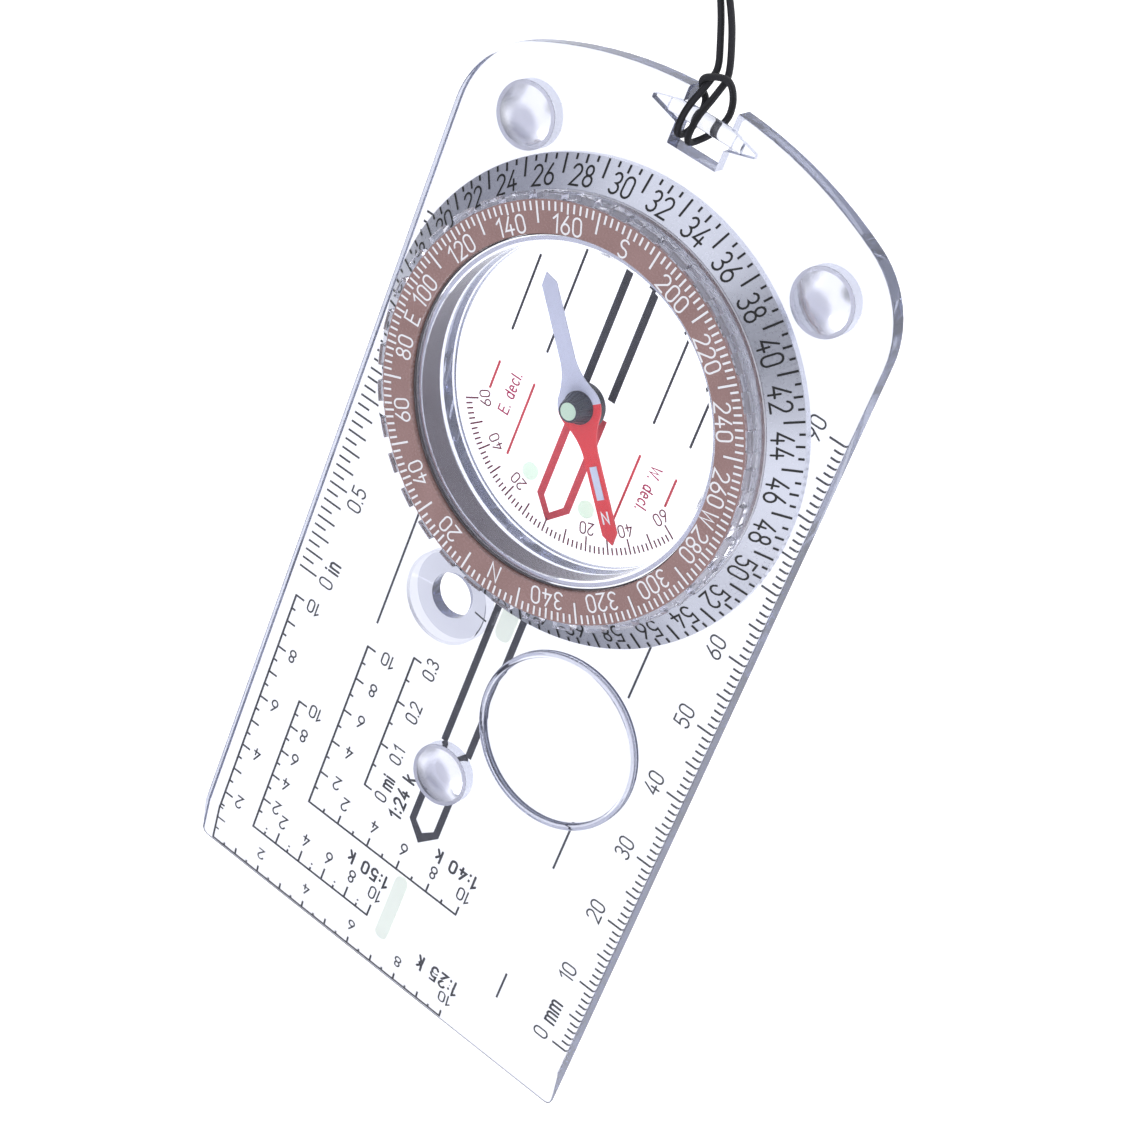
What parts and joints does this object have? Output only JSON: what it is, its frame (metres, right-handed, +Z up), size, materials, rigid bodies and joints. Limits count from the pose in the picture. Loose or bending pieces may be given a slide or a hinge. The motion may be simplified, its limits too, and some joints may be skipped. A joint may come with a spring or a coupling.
{
  "type": "baseplate compass",
  "caption": "Clear baseplate map compass with a turning dial, tall-hub needle in a sealed capsule, magnifier, soft feet and a thin looped lanyard.",
  "frame": {"origin": "middle of the plate, on the surface its feet stand on", "axes": "+Y is the direction of travel, +X is to the user's right, +Z is up out of the plate's face"},
  "size_m": [0.0604, 0.1399, 0.01],
  "materials": {
    "clear_acrylic": "clear, polished",
    "clear_silicone": "clear, soft",
    "lume": "matte luminous paint",
    "white_lume": "matte luminous paint",
    "black_cord": "braided",
    "silver_plastic": "silver, satin",
    "brown_plastic": "translucent brown",
    "pivot_steel": "ground",
    "needle_paint": "painted, red north arm and pale south arm",
    "dark_plastic": "satin",
    "magnet": "sintered",
    "jewel": "polished synthetic ruby"
  },
  "bodies": {
    "base": {"baseplate": "clear_acrylic", "magnifier_lens": "clear_acrylic", "foot_lanyard_left": "clear_silicone", "foot_lanyard_right": "clear_silicone", "foot_travel": "clear_silicone", "travel_lume": "lume", "index_lume": "lume", "lanyard_cord": "black_cord", "lanyard_knot": "black_cord"},
    "dial": {"mil_ring": "silver_plastic", "grip_ring": "clear_acrylic", "degree_ring": "brown_plastic", "capsule_wall": "clear_acrylic", "capsule_floor": "clear_acrylic", "capsule_cover": "clear_acrylic", "capsule_seal": "clear_silicone", "retaining_ring": "clear_acrylic", "pivot_pin": "pivot_steel", "floor_lume_dots": "lume"},
    "needle": {"needle": "needle_paint", "needle_hub": "dark_plastic", "needle_magnet": "magnet", "jewel_bearing": "jewel", "needle_lume": "white_lume", "hub_lume": "lume"}
  },
  "joints": [
    {"name": "dial_turn", "type": "hinge", "parent": "base", "child": "dial", "pos_m": [0, -0.0241, 0.0032], "axis": [0, 0, 1], "continuous": true},
    {"name": "needle_swing", "type": "hinge", "parent": "dial", "child": "needle", "pos_m": [0, -0.0241, 0.0061], "axis": [0, 0, 1], "continuous": true}
  ]
}
